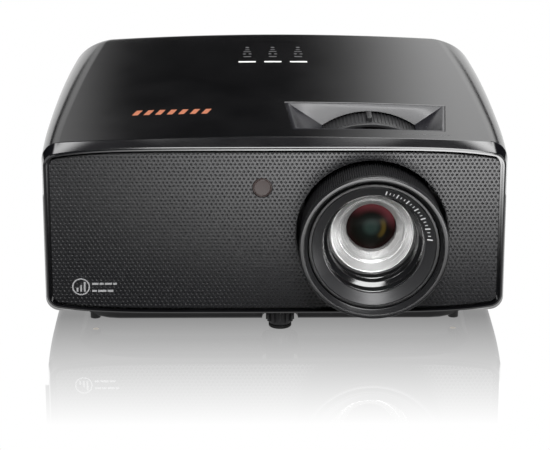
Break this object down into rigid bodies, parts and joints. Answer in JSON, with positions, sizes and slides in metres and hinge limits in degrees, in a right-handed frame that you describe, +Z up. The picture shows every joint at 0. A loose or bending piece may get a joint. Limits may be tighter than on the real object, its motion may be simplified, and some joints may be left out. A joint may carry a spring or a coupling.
{
  "type": "home projector",
  "caption": "Home projector with a crowned black case, an offset zoom lens, a finger recess over the zoom ring and screw feet.",
  "frame": {"origin": "on the floor, under the middle of the whole box", "axes": "+X to the lens side (right, seen from the front), +Y from the lens to the rear, +Z up"},
  "size_m": [0.3332, 0.295, 0.1591],
  "materials": {
    "cover": "satin black",
    "gloss": "gloss black",
    "panel": "dimpled dark grey",
    "dark": "matt black",
    "tray": "fine texture",
    "grey": "satin grey",
    "window": "tinted, polished",
    "light": "frosted white",
    "steel": "plated",
    "silver": "bright",
    "aluminium": "as cast",
    "brass": "turned",
    "glass": "coated",
    "rubber": "matt",
    "board": "solder mask"
  },
  "bodies": {
    "case": {"bottom_tray": "tray", "top_cover": "cover", "side_panel_left": "cover", "side_panel_right": "cover", "rear_panel": "tray", "front_bezel": "gloss", "front_panel": "panel", "pocket_liner": "tray", "infrared_window": "window", "status_light_left": "light", "status_light_middle": "light", "status_light_right": "light", "lens_shroud": "dark", "lens_barrel": "dark", "scale_ring": "grey", "baffle_cone": "dark", "trim_ring": "silver", "front_glass": "glass", "inner_glass": "glass", "lens_mount_plate": "aluminium", "engine_housing": "aluminium", "chip_board": "board", "chip_heat_sink": "aluminium", "wheel_motor": "steel", "light_source": "steel", "light_heat_sink": "aluminium", "main_board": "board", "power_supply": "board", "speaker_left": "dark", "speaker_right": "dark", "intake_fan_frame": "dark", "exhaust_fan_frame": "dark", "power_inlet": "dark", "hdmi_socket_1": "steel", "hdmi_socket_2": "steel", "usb_socket": "steel", "network_socket": "steel", "serial_socket": "steel", "audio_socket": "dark", "mount_insert_front_left": "brass", "mount_insert_front_right": "brass", "mount_insert_rear_left": "brass", "mount_insert_rear_right": "brass"},
    "zoom_ring": {"zoom_ring": "dark"},
    "focus_ring": {"focus_ring": "dark"},
    "intake_fan_rotor": {"intake_fan_rotor": "tray"},
    "exhaust_fan_rotor": {"exhaust_fan_rotor": "tray"},
    "colour_wheel": {"colour_wheel": "glass"},
    "power_key": {"power_key": "tray"},
    "up_key": {"up_key": "tray"},
    "down_key": {"down_key": "tray"},
    "left_key": {"left_key": "tray"},
    "right_key": {"right_key": "tray"},
    "enter_key": {"enter_key": "tray"},
    "front_foot_pad": {"front_foot_pad": "rubber"},
    "front_foot_knob": {"front_foot_knob": "tray"},
    "rear_left_foot_pad": {"rear_left_foot_pad": "rubber"},
    "rear_left_foot_knob": {"rear_left_foot_knob": "tray"},
    "rear_right_foot_pad": {"rear_right_foot_pad": "rubber"},
    "rear_right_foot_knob": {"rear_right_foot_knob": "tray"}
  },
  "joints": [
    {"name": "focus_turn", "type": "hinge", "parent": "case", "child": "focus_ring", "pos_m": [0.0694, -0.1175, 0.0773], "axis": [0, 1, 0], "range_deg": [-45, 45]},
    {"name": "zoom_turn", "type": "hinge", "parent": "case", "child": "zoom_ring", "pos_m": [0.0694, -0.1175, 0.0773], "axis": [0, 1, 0], "range_deg": [-20, 20]},
    {"name": "intake_fan_spin", "type": "hinge", "parent": "case", "child": "intake_fan_rotor", "pos_m": [-0.148, -0.0335, 0.077], "axis": [1, 0, 0], "continuous": true},
    {"name": "exhaust_fan_spin", "type": "hinge", "parent": "case", "child": "exhaust_fan_rotor", "pos_m": [0.148, 0.0325, 0.077], "axis": [1, 0, 0], "continuous": true},
    {"name": "colour_wheel_spin", "type": "hinge", "parent": "case", "child": "colour_wheel", "pos_m": [0.0166, 0.0355, 0.096], "axis": [1, 0, 0], "continuous": true},
    {"name": "power_press", "type": "slide", "parent": "case", "child": "power_key", "axis": [0, -1, 0], "range_m": [0, 0.0008], "stiffness_N_per_m": 500},
    {"name": "up_press", "type": "slide", "parent": "case", "child": "up_key", "axis": [0, -1, 0], "range_m": [0, 0.0008], "stiffness_N_per_m": 500},
    {"name": "down_press", "type": "slide", "parent": "case", "child": "down_key", "axis": [0, -1, 0], "range_m": [0, 0.0008], "stiffness_N_per_m": 500},
    {"name": "left_press", "type": "slide", "parent": "case", "child": "left_key", "axis": [0, -1, 0], "range_m": [0, 0.0008], "stiffness_N_per_m": 500},
    {"name": "right_press", "type": "slide", "parent": "case", "child": "right_key", "axis": [0, -1, 0], "range_m": [0, 0.0008], "stiffness_N_per_m": 500},
    {"name": "enter_press", "type": "slide", "parent": "case", "child": "enter_key", "axis": [0, -1, 0], "range_m": [0, 0.0008], "stiffness_N_per_m": 500},
    {"name": "front_foot_travel", "type": "slide", "parent": "case", "child": "front_foot_pad", "axis": [0, 0, -1], "range_m": [0, 0.012]},
    {"name": "front_foot_turn", "type": "hinge", "parent": "front_foot_pad", "child": "front_foot_knob", "pos_m": [0.004, -0.095, 0], "axis": [0, 0, 1], "range_deg": [0, 2160]},
    {"name": "rear_left_foot_travel", "type": "slide", "parent": "case", "child": "rear_left_foot_pad", "axis": [0, 0, -1], "range_m": [0, 0.012]},
    {"name": "rear_left_foot_turn", "type": "hinge", "parent": "rear_left_foot_pad", "child": "rear_left_foot_knob", "pos_m": [-0.112, 0.1085, 0], "axis": [0, 0, 1], "range_deg": [0, 2160]},
    {"name": "rear_right_foot_travel", "type": "slide", "parent": "case", "child": "rear_right_foot_pad", "axis": [0, 0, -1], "range_m": [0, 0.012]},
    {"name": "rear_right_foot_turn", "type": "hinge", "parent": "rear_right_foot_pad", "child": "rear_right_foot_knob", "pos_m": [0.112, 0.1085, 0], "axis": [0, 0, 1], "range_deg": [0, 2160]}
  ],
  "couplings": [
    {"joint": "front_foot_travel", "follows": "front_foot_turn", "m_per_rad": 0.00031831},
    {"joint": "rear_left_foot_travel", "follows": "rear_left_foot_turn", "m_per_rad": 0.00031831},
    {"joint": "rear_right_foot_travel", "follows": "rear_right_foot_turn", "m_per_rad": 0.00031831}
  ]
}
